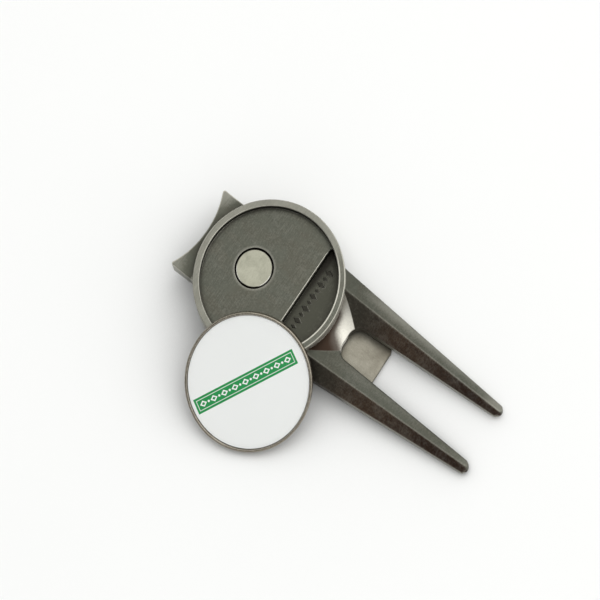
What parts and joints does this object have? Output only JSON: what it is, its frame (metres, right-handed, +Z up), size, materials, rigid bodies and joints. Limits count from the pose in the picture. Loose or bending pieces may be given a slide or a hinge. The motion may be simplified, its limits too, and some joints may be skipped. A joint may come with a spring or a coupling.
{
  "type": "divot repair tool",
  "caption": "Two-pronged pocket divot repair tool with a round magnetic marker pocket, a spring belt clip and a loose domed ball marker leaning on its rim.",
  "frame": {"origin": "on the table plane, where the marker pocket's axis, tilted 4 degrees, crosses the mid plane 2.63 mm below the tool's back face; z = 0 is the underside of the clip's level tongue", "axes": "+Z up from the table the tool lies on, +X along the tool's mid plane towards the prong tips, +Y towards the side without the leaning marker"},
  "size_m": [0.066, 0.0423, 0.0121],
  "materials": {
    "gunmetal_casting": "satin antique nickel over a zinc die casting",
    "magnet_nickel": "satin nickel plate",
    "spring_steel": "satin",
    "rivet_steel": "satin",
    "marker_steel": "polished nickel plate",
    "glue": "matte",
    "psa_film": "gloss",
    "printed_label": "white with one green printed band",
    "clear_resin": "gloss"
  },
  "bodies": {
    "clip": {"belt_clip": "spring_steel"},
    "tool": {"fork_body": "gunmetal_casting", "magnet": "magnet_nickel", "magnet_adhesive": "glue", "clip_foot": "spring_steel", "clip_rivets": "rivet_steel"},
    "marker": {"marker_disc": "marker_steel", "label_adhesive": "psa_film", "marker_label": "printed_label", "marker_dome": "clear_resin"}
  },
  "joints": [
    {"name": "clip_flex", "type": "hinge", "parent": "clip", "child": "tool", "pos_m": [-0.00621, 0, 0.00271], "axis": [0, -1, 0], "range_deg": [0, 6], "stiffness_Nm_per_rad": 0.05},
    {"name": "marker_lift", "type": "slide", "parent": "tool", "child": "marker", "axis": [0.3701, -0.783, 0.5], "range_m": [0, 0.02]}
  ]
}
